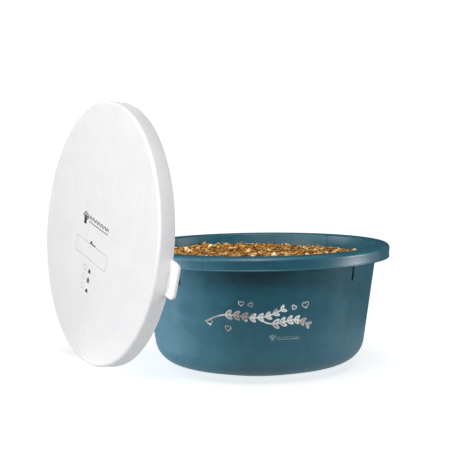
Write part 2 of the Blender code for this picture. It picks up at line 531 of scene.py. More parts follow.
@dataclass(frozen=True)
class DryGrain:
    """Dry cereal: a husk or a rolled flake, matt, streaked along its length, each one its own shade."""

    name: str
    shades: tuple[str, ...]
    streak: float = 0.0009        # spacing of the husk's fibres
    streak_depth: float = 0.0002
    mottle: float = 0.0040        # size of the paler and darker patches
    darkest: float = 0.62
    palest: float = 1.80
    richness: float = 1.12
    roughness: float = 0.62
    ior: float = 1.40

    def material(self) -> bpy.types.Material:
        """Make the grain's material."""
        material, tree, shader, place = new_material(self.name)
        own = add_node(tree, "ShaderNodeAttribute", {"attribute_name": "shade"}).outputs["Fac"]
        steps = len(self.shades) - 1
        body = add_node(tree, "ShaderNodeValToRGB", inputs={"Fac": own}, stops=[
            (i / steps, shade) for i, shade in enumerate(self.shades)
        ]).outputs["Color"]
        fibre = add_node(tree, "ShaderNodeTexNoise", inputs={
            "Vector": place, "Scale": 1 / self.streak, "Detail": 2.0,
        }).outputs["Fac"]
        mottle = add_node(tree, "ShaderNodeTexNoise", inputs={
            "Vector": place, "Scale": 1 / self.mottle, "Detail": 3.0,
        }).outputs["Fac"]
        worn = add_node(tree, "ShaderNodeMapRange", inputs={
            "Value": mottle, "From Min": 0.32, "From Max": 0.68,
            "To Min": self.darkest, "To Max": self.palest,
        }).outputs["Result"]
        tone = add_node(tree, "ShaderNodeHueSaturation", inputs={
            "Color": body, "Value": worn, "Saturation": self.richness,
        }).outputs["Color"]
        husk = add_node(tree, "ShaderNodeBump", inputs={
            "Height": fibre, "Strength": 0.5, "Distance": self.streak_depth,
        }).outputs["Normal"]
        tree.links.new(tone, shader.inputs["Base Color"])
        tree.links.new(husk, shader.inputs["Normal"])
        shader.inputs["Roughness"].default_value = self.roughness
        shader.inputs["IOR"].default_value = self.ior
        return material


# ----------------------------------------------------------------------------------------------
# Bowl
# ----------------------------------------------------------------------------------------------


@dataclass
class Bowl:
    """The moulded bowl: base, sloping underside, tapering wall, flange, outer band and gusset ribs."""

    mouth_radius: float = 0.1513
    taper: float = math.radians(8.3)
    wall: float = 0.0028
    base_radius: float = 0.0795
    underside: float = math.radians(13.8)
    corner_radius: float = 0.0314
    base_edge: float = 0.004          # fillet of the base's edge, inside and outside
    rim_thickness: float = 0.0026
    rim_edge: float = 0.005
    mouth_edge: float = 0.0022
    band_height: float = 0.0165
    band_wall: float = 0.0024
    band_draft: float = 0.001
    band_edge: float = 0.0005
    band_root: float = 0.0010         # fillet between the flange's underside and the band
    flange_root: float = 0.0015       # fillet between the wall and the flange's underside
    bead: float = 0.0007              # radius of the bead along the band's lower edge
    bead_root: float = 0.0006         # fillet between the bead and the band's face
    bead_groove: float = 0.0001       # how far that fillet cuts into the face
    foot_recess: float = 0.0009       # how far the base's middle is set up from the floor
    foot_width: float = 0.009         # width of the ring that the bowl stands on
    foot_step: float = 0.0015         # how far the step up from that ring slopes inwards
    foot_edge: float = 0.0006
    rib_count: int = 4
    rib_thickness: float = 0.0017
    rib_drop: float = 0.021
    rib_tail: float = 0.0015
    rib_hidden: float = 0.0015        # how far above the band's lower edge the ribs' arms end
    rib_toe: float = 0.0012           # fillets of a rib's outline, low on the wall and under its arm
    rib_armpit: float = 0.0008
    rib_edge: float = 0.0004
    rib_first: float = math.radians(-73.5)
    # the band's mould seams, which the plastic draws as lines of painted shade
    band_marks: tuple[float, ...] = (math.radians(-145.9), math.radians(-81.1))
    height: float = field(init=False)
    rim_radius: float = field(init=False)

    def __post_init__(self) -> None:
        """Take the height and the rim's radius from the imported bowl."""
        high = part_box("bowl")[1]
        self.height = high.z
        self.rim_radius = high.x + self.band_draft * self.rim_edge / self.band_height

    @property
    def band_foot(self) -> float:
        """Height of the band's lower edge."""
        return self.height - self.band_height

    def wall_radius(self, z: Any, outside: float = 0.0) -> Any:
        """Radius of the wall at a height.

        Args:
            z: the height, one number or an array.
            outside: how far outside the wall's inner face.

        Returns:
            The radius there.
        """
        at_rim = self.mouth_radius + outside / math.cos(self.taper)
        return at_rim - (self.height - z) * math.tan(self.taper)

    def lower_corners(self, outside: float) -> tuple[Flat, Flat]:
        """Base edge and wall foot of the shape, taken outside its inner face.

        Args:
            outside: how far outside the inner face.

        Returns:
            (radius, height) of the base's edge and of the wall's foot.
        """
        stretch = 1 - 1 / math.cos(self.underside)
        slope = math.tan(self.underside)
        base_z = self.wall - outside
        base_r = self.base_radius + (self.wall - outside) * stretch / slope
        across = self.wall_radius(base_z, outside) - base_r
        foot_z = across * slope / (1 - math.tan(self.taper) * slope) + base_z
        return (base_r, base_z), (self.wall_radius(foot_z, outside), foot_z)

    def outline(self) -> list[Vector]:
        """The section from the base's centre out, over the rim and back down the inside."""
        base, foot = self.lower_corners(self.wall)
        inner_base, inner_foot = self.lower_corners(0.0)
        under_rim = self.height - self.rim_thickness
        inside = self.rim_radius - self.band_wall
        low = self.band_foot
        ring = base[0] - self.foot_width
        outer = self.rim_radius - self.band_draft
        return rounded([
            (0, self.foot_recess, 0, 0),
            (ring - self.foot_step, self.foot_recess, self.foot_edge, 2),
            (ring, 0, self.foot_edge, 2),
            (*base, self.base_edge, 6),
            (*foot, self.corner_radius, 20),
            (self.wall_radius(under_rim, self.wall), under_rim, self.flange_root, 4),
            (inside, under_rim, self.band_root, 3),
            (inside - self.band_draft, low, self.band_edge, 2),
            (outer + self.bead / 2, low, self.bead, 4),
            (outer + self.bead / 2, low + 2 * self.bead, self.bead, 4),
            (outer - self.bead_groove, low + 2.6 * self.bead, self.bead_root, 2),
            (self.rim_radius, self.height, self.rim_edge, 12),
            (self.mouth_radius, self.height, self.mouth_edge, 8),
            (*inner_foot, self.corner_radius - self.wall, 20),
            (*inner_base, self.base_edge, 5),
            (0, self.wall, 0, 0),
        ])

    def build_shell(self, plastic: bpy.types.Material) -> None:
        """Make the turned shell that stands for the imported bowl."""
        shell = turn_profile("bowl_shell", self.outline())
        finish_piece(shell, Body.BOWL, plastic, ["bowl"])

    def build_ribs(self, plastic: bpy.types.Material) -> None:
        """Make the gusset ribs that brace the band against the wall."""
        top = self.height - self.rim_thickness / 2
        low = self.band_foot - self.rib_drop
        buried = self.wall / 2
        reach = self.rim_radius - self.band_draft - self.band_wall / 2
        shoulder = self.band_foot + self.rib_hidden
        corners = rounded([
            (self.wall_radius(low, buried), low, 0, 0),
            (self.wall_radius(low, self.wall + self.rib_tail), low, self.rib_toe, 4),
            (self.wall_radius(shoulder, self.wall + self.rib_tail), shoulder, self.rib_armpit, 3),
            (reach, shoulder, 0, 0),
            (reach, top, 0, 0),
            (self.wall_radius(top, buried), top, 0, 0),
        ])
        centred = Matrix.Translation((0, self.rib_thickness / 2, 0))
        upright = centred @ Matrix.Rotation(math.pi / 2, 4, "X")
        for i in range(self.rib_count):
            rib = cut_plate(f"gusset_rib_{i + 1}", corners, self.rib_thickness, self.rib_edge)
            turn = self.rib_first + math.tau * i / self.rib_count
            rib.data.transform(Matrix.Rotation(turn, 4, "Z") @ upright)
            finish_piece(rib, Body.BOWL, plastic)

    def build(self, plastic: bpy.types.Material) -> None:
        """Make the bowl's pieces."""
        self.build_shell(plastic)
        self.build_ribs(plastic)


# ----------------------------------------------------------------------------------------------
# Lid
# ----------------------------------------------------------------------------------------------


@dataclass
class Lid:
    """The moulded lid: a flat face, a gripping skirt and a pull tab at the skirt's free edge."""

    radius: float = 0.1728
    wall: float = 0.0022
    depth: float = 0.0216
    edge: float = 0.004
    lip_inside: float = 0.0005        # fillets of the skirt's free edge
    lip_outside: float = 0.0008
    lean: float = math.radians(5.0)
    tab_width: float = 0.045
    tab_length: float = 0.020
    tab_thickness: float = 0.004
    tab_corner: float = 0.009
    tab_turn: float = math.radians(13.75)
    tab_border: float = 0.0042        # width of the raised border round the tab's middle
    tab_recess: float = 0.0012        # how far the middle is sunk, over a slope as wide
    tab_edge: float = 0.0010
    frame: Matrix = field(init=False)

    def __post_init__(self) -> None:
        """Work out where the lid leans: X runs level across the face, Y up it and Z out of it."""
        low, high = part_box("lid")
        pivot = frame["joints"][0]["pos_m"]
        lean_cos, lean_sin = math.cos(self.lean), math.sin(self.lean)
        centre = Vector((
            high.x - self.depth * lean_cos - self.radius * lean_sin,
            pivot[1],
            low.z + self.radius * lean_cos + self.depth * lean_sin,
        ))
        axes = Matrix(((0, lean_sin, -lean_cos), (-1, 0, 0), (0, lean_cos, lean_sin)))
        self.frame = Matrix.Translation(centre) @ axes.to_4x4()

    @property
    def turned_frame(self) -> Matrix:
        """The face's frame turned so that the tab is at three o'clock and the print is upright."""
        return self.frame @ Matrix.Rotation(-self.tab_turn, 4, "Z")

    def outline(self) -> list[Vector]:
        """The section with the face up and its centre at the origin."""
        inner = self.radius - self.wall
        return rounded([
            (0, -self.wall, 0, 0),
            (inner, -self.wall, self.edge - self.wall, 6),
            (inner, -self.depth, self.lip_inside, 3),
            (self.radius, -self.depth, self.lip_outside, 4),
            (self.radius, 0, self.edge, 12),
            (0, 0, 0, 0),
        ])

    def build_shell(self, plastic: bpy.types.Material) -> None:
        """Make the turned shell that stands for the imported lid."""
        shell = turn_profile("lid_shell", self.outline())
        shell.data.transform(self.frame)
        finish_piece(shell, Body.LID, plastic, ["lid"])

    def build_tab(self, plastic: bpy.types.Material) -> None:
        """Make the pull tab, with a raised border round a sunk middle."""
        half = self.tab_width / 2
        root = math.sqrt(self.radius**2 - half**2) - self.wall / 2
        tip = self.radius + self.tab_length
        corners = rounded([
            (root, -half, 0, 0),
            (tip, -half, self.tab_corner, 10),
            (tip, half, self.tab_corner, 10),
            (root, half, 0, 0),
        ])
        tab = cut_plate("lid_pull_tab", corners, self.tab_thickness, self.tab_edge)
        use_only(tab)
        bpy.ops.object.mode_set(mode="EDIT")
        bpy.ops.mesh.select_mode(type="FACE")
        bpy.ops.mesh.select_all(action="DESELECT")
        bpy.ops.object.mode_set(mode="OBJECT")
        faces_up = [face for face in tab.data.polygons if face.normal.z > 0.9]
        max(faces_up, key=lambda face: face.center.z * face.area).select = True
        bpy.ops.object.mode_set(mode="EDIT")
        bpy.ops.mesh.inset(thickness=self.tab_border - self.tab_edge, depth=0)
        bpy.ops.mesh.inset(thickness=self.tab_recess, depth=-self.tab_recess)
        bpy.ops.object.mode_set(mode="OBJECT")
        tab.data.transform(self.turned_frame @ Matrix.Translation((0, 0, -self.depth)))
        finish_piece(tab, Body.LID, plastic)

    def build(self, plastic: bpy.types.Material) -> None:
        """Make the lid's pieces."""
        self.build_shell(plastic)
        self.build_tab(plastic)


# ----------------------------------------------------------------------------------------------
# Prints
# ----------------------------------------------------------------------------------------------


class Taper(Enum):
    """How a printed stroke's width runs along it."""

    EVEN = "even"
    LEAF = "leaf"


@dataclass
class Artwork:
    """Line artwork in millimetres, drawn flat and then laid on a surface as a thin film."""

    name: str
    width: float
    taper: Taper = Taper.EVEN
    film: float = 0.00012             # how far the film stands proud
    strokes: list[list[Flat]] = field(default_factory=list)

    def line(self, *points: Flat) -> None:
        """Add a stroke through points."""
        self.strokes.append(list(points))

    def arc(self, centre: Flat, radius: float, start: float, end: float, steps: int = 16) -> None:
        """Add an arc.

        Args:
            centre: its middle.
            radius: its radius.
            start: first angle in degrees.
            end: last angle in degrees.
            steps: how many straight parts it has.
        """
        turns = [math.radians(start + (end - start) * i / steps) for i in range(steps + 1)]
        self.line(*((centre[0] + radius * math.cos(t), centre[1] + radius * math.sin(t)) for t in turns))

    def rays(self, centre: Flat, near: float, far: float, turns: Iterable[float]) -> None:
        """Add short strokes that point away from a place.

        Args:
            centre: that place.
            near: how far off each stroke starts.
            far: how far off it ends.
            turns: the strokes' directions in degrees.
        """
        for turn in turns:
            across, up = math.cos(math.radians(turn)), math.sin(math.radians(turn))
            self.line(*((centre[0] + away * across, centre[1] + away * up) for away in (near, far)))

    def heart(self, centre: Flat, size: float, tilt: float) -> None:
        """Add a small heart, whose ends stop just short of each other.

        Args:
            centre: its middle.
            size: its width.
            tilt: how far it is turned, in degrees.
        """
        turn = math.radians(tilt)
        points = []
        for i in range(21):
            t = math.tau * (i - 0.3) / 20.6
            lobes = 13 * math.cos(t) - 5 * math.cos(2 * t) - 2 * math.cos(3 * t) - math.cos(4 * t)
            x, y = size / 2 * math.sin(t) ** 3, size / 32 * lobes
            points.append((
                centre[0] + x * math.cos(turn) - y * math.sin(turn),
                centre[1] + x * math.sin(turn) + y * math.cos(turn),
            ))
        self.line(*points)

    def kernel(self, foot: Flat, length: float, fullness: float, angle: float) -> None:
        """Add the outline of one cereal kernel.

        Args:
            foot: where it joins the stem.
            length: from foot to tip.
            fullness: its greatest width.
            angle: where its tip points, in degrees.
        """
        turn = math.radians(angle)
        points = []
        for i in range(15):
            t = math.tau * i / 14
            along = length * (1 - math.cos(t)) / 2
            across = fullness / 2 * math.sin(t) * (0.75 + 0.25 * math.cos(t / 2) ** 2)
            points.append((
                foot[0] + along * math.cos(turn) - across * math.sin(turn),
                foot[1] + along * math.sin(turn) + across * math.cos(turn),
            ))
        self.line(*points)

    def lay(
        self,
        onto: Callable[[np.ndarray], np.ndarray],
        body: Body,
        ink: bpy.types.Material,
    ) -> None:
        """Build the strokes as one thin film on a surface.

        Args:
            onto: takes flat points in metres and gives their places on the surface.
            body: the body that carries the print.
            ink: its finish.
        """
        film = start_mesh(self.name)
        for stroke in self.strokes:
            draw_line([Vector((x * MM, y * MM, 0)) for x, y in stroke])
        bpy.ops.object.mode_set(mode="OBJECT")
        use_only(film)
        bpy.ops.object.convert(target="CURVE")
        curve = film.data
        curve.bevel_depth = self.width * MM / 2
        curve.bevel_resolution = 1
        curve.use_fill_caps = True
        for spline in curve.splines:
            count = len(spline.points)
            for i, point in enumerate(spline.points):
                share = (i + 0.5) / count
                point.radius = math.sin(math.pi * share) if self.taper is Taper.LEAF else 1.0
        bpy.ops.object.convert(target="MESH")
        thin = self.film / (self.width * MM / 2)
        shape_points(film, lambda p: onto(p * np.array((1, 1, thin))))
        use_only(film)
        bpy.ops.object.mode_set(mode="EDIT")
        bpy.ops.mesh.select_all(action="SELECT")
        bpy.ops.mesh.remove_doubles(threshold=1e-7)
        bpy.ops.mesh.normals_make_consistent(inside=False)
        bpy.ops.object.mode_set(mode="OBJECT")
        finish_piece(film, body, ink)


@dataclass
class BowlPrint:
    """Foil decoration on the wall: two ears of grain on curved stems, small hearts and a sprig."""

    bowl: Bowl
    turn: float = math.radians(-124.4)    # the print's middle, round the Z axis
    middle: float = 0.0858                # the print's middle, above the floor
    kernel_length: float = 9.5            # in millimetres, where an ear's stem starts
    kernel_shrink: float = 0.35           # how much shorter the kernels are at its tip
    kernel_shape: float = 0.42            # a kernel's width as a share of its length
    kernel_spread: float = 38.0           # degrees to each side of the stem

    def onto_wall(self, flat: np.ndarray) -> np.ndarray:
        """Wrap flat points round the bowl's wall."""
        z = self.middle + flat[:, 1]
        at_middle = self.bowl.wall_radius(self.middle, self.bowl.wall)
        angle = self.turn + flat[:, 0] / at_middle
        radius = self.bowl.wall_radius(z, self.bowl.wall) + flat[:, 2]
        return np.column_stack((radius * np.cos(angle), radius * np.sin(angle), z))

    def ear(self, art: Artwork, start: Flat, end: Flat, bow: float, pairs: int) -> None:
        """Draw an ear of grain on a bowed stem.

        Args:
            art: the artwork that takes it.
            start: the stem's foot.
            end: the ear's tip.
            bow: how far the stem swings to each side of the straight line.
            pairs: how many pairs of kernels it carries.
        """
        dx, dy = end[0] - start[0], end[1] - start[1]
        length = math.hypot(dx, dy)

        def along(share: float) -> Flat:
            swing = bow * math.sin(math.tau * share) / length
            return start[0] + dx * share - dy * swing, start[1] + dy * share + dx * swing

        art.line(*(along(i / 30) for i in range(31)))
        for i in range(pairs):
            share = 0.30 + 0.68 * i / (pairs - 1)
            x, y = along(share)
            ahead = along(share + 0.01)
            way = math.degrees(math.atan2(ahead[1] - y, ahead[0] - x))
            size = self.kernel_length * (1 - self.kernel_shrink * share)
            for side in (1, -1):
                art.kernel((x, y), size, size * self.kernel_shape, way + side * self.kernel_spread)

    def build(self, foil: bpy.types.Material, faint: bpy.types.Material) -> None:
        """Lay the decoration on the wall."""
        ears = Artwork("bowl_print_ears", 1.8)
        self.ear(ears, (-64, -8), (31, 8), 5.0, 8)
        self.ear(ears, (2, -3), (63, -12), -4.0, 6)
        ears.lay(self.onto_wall, Body.BOWL, foil)
        hearts = Artwork("bowl_print_hearts", 1.0)
        for centre, size, tilt in (
            ((-17.7, 15.7), 6.5, 0), ((-6.8, 14.1), 6.0, 28), ((44.5, 9.7), 6.0, -30),
            ((58.6, 12.0), 8.5, 12), ((-58, -8.2), 7.5, 10), ((-34.8, -14.8), 7.5, -8),
        ):
            hearts.heart(centre, size, tilt)
        hearts.lay(self.onto_wall, Body.BOWL, foil)
        note = Artwork("bowl_print_sprig", 0.7)
        for side in (-1, 0, 1):
            note.kernel((19, -28.0), 5.5, 2.4, 90 + side * 45)
        note.line((17.2, -29.6), (19, -29.9), (20.8, -29.6))
        for i in range(11):
            note.line((24 + 2.7 * i, -27.4), (24.9 + 2.7 * i, -25.6))
        note.line(*((24 + 1.62 * i, -28.8) for i in range(19)))
        note.lay(self.onto_wall, Body.BOWL, faint)


@dataclass
class LidPrint:
    """Ink on the lid's face: a small sheaf, a leaf border, a writing field and three tick circles."""

    lid: Lid

    def onto_face(self, flat: np.ndarray) -> np.ndarray:
        """Put flat points on the lid's face."""
        place = np.array(self.lid.turned_frame)
        return flat @ place[:3, :3].T + place[:3, 3]

    def emblem(self) -> Artwork:
        """A small sheaf: five kernels fanned out above their tie."""
        art = Artwork("lid_print_sheaf", 1.3)
        for spread in (-58, -29, 0, 29, 58):
            art.kernel((-40.0, 8.0), 10.5, 4.0, 90 + spread)
        return art

    def tie(self) -> Artwork:
        """The solid tie of the sheaf."""
        art = Artwork("lid_print_tie", 6.0)
        art.line((-43.8, 5.2), (-40.0, 4.6), (-36.2, 5.2))
        return art

    def border(self) -> Artwork:
        """A row of leaves, leaning to and fro."""
        art = Artwork("lid_print_leaves", 2.3, Taper.LEAF)
        for i in range(15):
            x = -31.0 + 4.5 * i
            lean = 0.5 if i % 2 else -0.5
            art.line(*((x + lean * (k - 2.5), 11.2 + 1.1 * k) for k in range(6)))
        return art

    def rules(self) -> Artwork:
        """A thin rule under the leaves."""
        art = Artwork("lid_print_rule", 1.1)
        art.line(*((-28.5 + 2.05 * i, 8.2) for i in range(31)))
        return art

    def field(self) -> Artwork:
        """The rounded writing field and the tick circles."""
        art = Artwork("lid_print_field", 0.75)
        left, right, low, high, corner = -57.4, 42.2, -38.8, -18.4, 2.0
        middle = (left + right) / 2
        loop = rounded([
            (middle, high, 0, 0), (left, high, corner, 5), (left, low, corner, 5),
            (right, low, corner, 5), (right, high, corner, 5), (middle, high, 0, 0),
        ])
        art.line(*(tuple(p) for p in loop))
        for height in (-52.6, -65.3, -78.0):
            art.arc((-19.0, height), 3.7, 0, 360, 28)
        return art

    def symbols(self) -> Artwork:
        """Morning, noon and evening beside the tick circles, and a leaf on the field's border."""
        art = Artwork("lid_print_symbols", 1.9)
        column = -3.7
        for height, near, far in ((-54.5, 3.2, 4.4), (-81.0, 3.0, 3.8)):
            art.arc((column, height), 2.0, 0, 180, 10)
            art.arc((column, height), 0.9, 0, 180, 8)
            art.line(*((column + side, height - 0.6) for side in (-3.9, 0, 3.9)))
            art.rays((column, height), near, far, (45, 90, 135))
        noon = (column, -66.0)
        art.arc(noon, 1.9, 0, 360, 16)
        art.arc(noon, 0.9, 0, 360, 12)
        art.rays(noon, 3.1, 4.2, range(0, 360, 45))
        art.kernel((-14.0, -18.0), 5.5, 2.4, 38)
        art.line(*((-9.5 + 1.5 * i, -17.6) for i in range(9)))
        return art

    def build(self, dark: bpy.types.Material, pale: bpy.types.Material) -> None:
        """Lay the print on the face."""
        for art in (self.emblem(), self.tie(), self.border(), self.rules(), self.symbols()):
            art.lay(self.onto_face, Body.LID, dark)
        self.field().lay(self.onto_face, Body.LID, pale)


# ----------------------------------------------------------------------------------------------
# Feed
# ----------------------------------------------------------------------------------------------


@dataclass(frozen=True)
class GrainKind:
    """One ingredient of the mix: its size in millimetres, its form and how many lie on top."""

    name: str
    length: float
    width: float
    thickness: float
    count: int
    tilt: float               # how steeply it may lie, in degrees
    finish: DryGrain
    pointed: float = 0.0      # 0 is an oval, 1 a spindle
    curl: float = 0.0         # how far its ends turn up, in millimetres
    crease: float = 0.0       # depth of the furrow along its top, as a share of its thickness

    def pattern(self) -> tuple[np.ndarray, list[tuple[int, ...]]]:
        """Model one grain.

        Returns:
            Its points in metres and its faces.
        """
        deselect_all()
        bpy.ops.mesh.primitive_uv_sphere_add(segments=8, ring_count=6, radius=1)
        grain = bpy.context.active_object
        bpy.ops.object.mode_set(mode="EDIT")
        bpy.ops.mesh.select_all(action="SELECT")
        bpy.ops.transform.rotate(value=math.pi / 2, orient_axis="Y", center_override=(0, 0, 0))
        bpy.ops.object.mode_set(mode="OBJECT")
        shape_points(grain, self.shaped)
        points = np.array([tuple(v.co) for v in grain.data.vertices])
        faces = [tuple(face.vertices) for face in grain.data.polygons]
        bpy.data.objects.remove(grain)
        return points, faces

    def shaped(self, points: np.ndarray) -> np.ndarray:
        """Turn a unit ball into this grain."""
        x, y, z = points.T
        slim = 1 - self.pointed * 0.55 * x**2
        belly = 1 + 0.12 * x
        across = y * slim * belly
        furrow = self.crease * np.exp(-(y / 0.30) ** 2) * (z > 0)
        up = z * slim * (1 - furrow)
        return np.column_stack((
            x * self.length / 2, across * self.width / 2, up * self.thickness / 2 + self.curl * x**2,
        )) * MM


@dataclass
class FeedMix:
    """The heap of grain in the bowl: a bed that fills it and loose grains that lie on the bed. The bed's
    dark brown is grain colour deepened by painted shade for the gaps between the loose grains.
    """

    bowl: Bowl
    kinds: Sequence[GrainKind]
    below_rim: float = 0.0150         # level at the bowl's axis
    fall: float = 0.0200              # slope of the level, towards the low side
    low_side: float = math.radians(-33.0)
    gap: float = 0.0003
    heave: float = 0.0007             # how far the level rolls up and down
    bed_depth: float = 0.0022         # the bed's top is this far under the level
    bed_bumps: float = 0.0006
    wall_clearance: float = 0.0006    # from a grain's side to the wall
    sink: float = 0.32                # height of a grain's middle over the heap, per thickness
    prop: float = 0.22                # how much a tilt lifts the middle, per length
    packing: float = 0.55             # how much a grain adds to the heap, per thickness
    size_spread: float = 0.13         # how much the grains of a kind differ
    cell: float = 0.0015              # grid that keeps the height of the heap

    def level(self, x: np.ndarray, y: np.ndarray) -> np.ndarray:
        """Height of the levelled mix at points."""
        towards = x * math.cos(self.low_side) + y * math.sin(self.low_side)
        heave = self.heave * np.sin(x * 61 + 1.3) * np.cos(y * 47 - 0.4)
        return self.bowl.height - self.below_rim - self.fall * towards + heave

    def build_bed(self, shaded_bed_finish: bpy.types.Material) -> None:
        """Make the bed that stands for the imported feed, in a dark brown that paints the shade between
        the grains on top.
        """
        top = self.bowl.height - self.below_rim
        base, foot = self.bowl.lower_corners(-self.gap)
        edge = self.bowl.wall_radius(top, -self.gap)
        rings = 36
        outline = rounded([
            (0, base[1], 0, 0),
            (*base, 0, 0),
            (*foot, self.bowl.corner_radius - self.bowl.wall - self.gap, 12),
            (edge, top, 0, 0),
            *((edge * (rings - i) / rings, top, 0, 0) for i in range(1, rings + 1)),
        ])
        bed = turn_profile("feed_bed", outline)

        def lay_top(points: np.ndarray) -> np.ndarray:
            x, y, z = points.T
            bumps = np.sin(x * 911 + 3 * np.sin(y * 407)) * np.cos(y * 853 + 2 * np.sin(x * 523))
            on_top = z > top - 1e-5
            level = self.level(x, y) - self.bed_depth + self.bed_bumps * bumps
            limit = self.bowl.wall_radius(level, -self.gap)
            shrink = np.where(on_top, np.minimum(1, limit / np.maximum(np.hypot(x, y), 1e-9)), 1)
            return np.column_stack((x * shrink, y * shrink, np.where(on_top, level, z)))

        shape_points(bed, lay_top)
        finish_piece(bed, Body.BOWL, shaded_bed_finish, ["feed_mix"])

    def settle(self, rng: np.random.Generator, order: np.ndarray) -> tuple[np.ndarray, np.ndarray]:
        """Drop the grains one by one on the bed.

        Args:
            rng: the seeded source of chance.
            order: for each grain, the place of its kind in the list.

        Returns:
            Each grain's middle, and its turn, tilt and roll.
        """
        edge = self.bowl.wall_radius(self.bowl.height - self.below_rim)
        size = int(2 * edge / self.cell) + 2
        side = (np.arange(size) - size / 2) * self.cell
        heap = self.level(side[:, None], side[None, :]) - self.bed_depth
        middles = np.zeros((len(order), 3))
        turns = np.zeros((len(order), 3))
        for i, which in enumerate(order):
            kind = self.kinds[which]
            length, thickness = kind.length * MM, kind.thickness * MM
            reach = edge - kind.width * MM / 2 - self.wall_clearance
            far, way = reach * math.sqrt(rng.random()), rng.uniform(0, math.tau)
            x, y = far * math.cos(way), far * math.sin(way)
            turn = rng.uniform(0, math.tau)
            if far > reach - length / 2:
                turn = way + math.pi / 2 + rng.normal(0, 0.25)
            tilt = math.radians(rng.normal(0, kind.tilt))
            steps = np.linspace(-0.4, 0.4, 5) * length
            spots = np.array((x + steps * math.cos(turn), y + steps * math.sin(turn)))
            columns, rows = (spots / self.cell + size / 2).astype(int).clip(0, size - 1)
            under = heap[columns, rows]
            rest = float(under.mean() * 0.6 + under.max() * 0.4)
            z = rest + thickness * self.sink + abs(math.sin(tilt)) * length * self.prop
            heap[columns, rows] = np.maximum(under, rest + thickness * self.packing)
            middles[i] = x, y, z
            turns[i] = turn, tilt, rng.normal(0, 0.5)
        return middles, turns

    def scatter(
        self, kind: GrainKind, middles: np.ndarray, turns: np.ndarray, shades: np.ndarray,
    ) -> None:
        """Copy one grain to its places as one loose layer.

        Args:
            kind: the ingredient.
            middles: where each grain lies.
            turns: how each grain lies.
            shades: each grain's place in its range of colours.
        """
        pattern, faces = kind.pattern()
        count, size = len(middles), len(pattern)
        rng = np.random.default_rng(SEED + count)
        scale = rng.normal(1.0, self.size_spread, (count, 1, 3)).clip(0.7, 1.35)
        cos, sin = np.cos(turns), np.sin(turns)
        points = pattern[None] * scale
        x, y, z = points[..., 0], points[..., 1], points[..., 2]
        y, z = y * cos[:, 2:] - z * sin[:, 2:], y * sin[:, 2:] + z * cos[:, 2:]
        x, z = x * cos[:, 1:2] - z * sin[:, 1:2], x * sin[:, 1:2] + z * cos[:, 1:2]
        x, y = x * cos[:, :1] - y * sin[:, :1], x * sin[:, :1] + y * cos[:, :1]
        placed = np.stack((x, y, z), -1) + middles[:, None]
        far = np.hypot(placed[..., 0], placed[..., 1])
        over = (far - self.bowl.wall_radius(placed[..., 2], -0.0004)).max(1).clip(0)
        inwards = middles[:, :2] / np.hypot(middles[:, 0], middles[:, 1])[:, None]
        placed[..., :2] -= (inwards * over[:, None])[:, None]
        mesh = bpy.data.meshes.new(kind.name)
        all_faces = [tuple(v + i * size for v in face) for i in range(count) for face in faces]
        mesh.from_pydata(placed.reshape(-1, 3).tolist(), [], all_faces)
        shade = mesh.attributes.new("shade", "FLOAT", "POINT")
        shade.data.foreach_set("value", np.repeat(shades, size).astype(np.float32))
        mesh.update()
        grains = bpy.data.objects.new(kind.name, mesh)
        bpy.context.scene.collection.objects.link(grains)
        finish_piece(grains, Body.BOWL, kind.finish.material())

    def build(self, shaded_bed_finish: bpy.types.Material) -> None:
        """Fill the bowl."""
        self.build_bed(shaded_bed_finish)
        rng = np.random.default_rng(SEED)
        counts = [kind.count for kind in self.kinds]
        order = rng.permutation(np.repeat(np.arange(len(self.kinds)), counts))
        middles, turns = self.settle(rng, order)
        shades = rng.random(len(order))
        for which, kind in enumerate(self.kinds):
            mine = order == which
            self.scatter(kind, middles[mine], turns[mine], shades[mine])


# ----------------------------------------------------------------------------------------------
# Studio
# ----------------------------------------------------------------------------------------------


@dataclass(frozen=True)
class Lamp:
    """A lamp of the studio: a square softbox, or a very wide far lamp like light off a white ceiling."""

    name: str
    place: tuple[float, float, float]
    strength: float                   # watts of a softbox, or W/m2 of the far lamp
    size: float = 0.0                 # side of the softbox; none makes it the far lamp
    spread: float = 0.0               # how wide the far lamp is seen
    aim: tuple[float, float, float] = (0.0, 0.0, 0.1)
    lights_only: Body | None = None
    passes: Body | None = None        # the body that throws no shadow in this lamp's light

    def build(self) -> None:
        """Put up the lamp, and say what it lights and what shades it."""
        deselect_all()
        bpy.ops.object.light_add(type="AREA" if self.size else "SUN", location=self.place)
        lamp = bpy.context.active_object
        lamp.name = self.name
        lamp.data.energy = self.strength
        lamp.visible_camera = False
        if self.size:
            lamp.data.shape = "SQUARE"
            lamp.data.size = self.size
        else:
            lamp.data.angle = self.spread
        lamp.rotation_euler = (Vector(self.aim) - Vector(self.place)).to_track_quat("-Z", "Y").to_euler()
        linking = lamp.light_linking
        if self.lights_only:
            linking.receiver_collection = self.group("lit_by_", lambda body: body == self.lights_only)
        if self.passes:
            linking.blocker_collection = self.group("shades_", lambda body: body != self.passes)

    def group(self, prefix: str, wanted: Callable[[str | None], bool]) -> bpy.types.Collection:
        """Gather the pieces whose body is wanted.

        Args:
            prefix: start of the group's name.
            wanted: takes a piece's body, which is None for the floor.

        Returns:
            The group.
        """
        group = bpy.data.collections.new(prefix + self.name)
        for obj in bpy.context.scene.objects:
            if obj.type == "MESH" and wanted(obj.get("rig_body")):
                group.objects.link(obj)
        return group


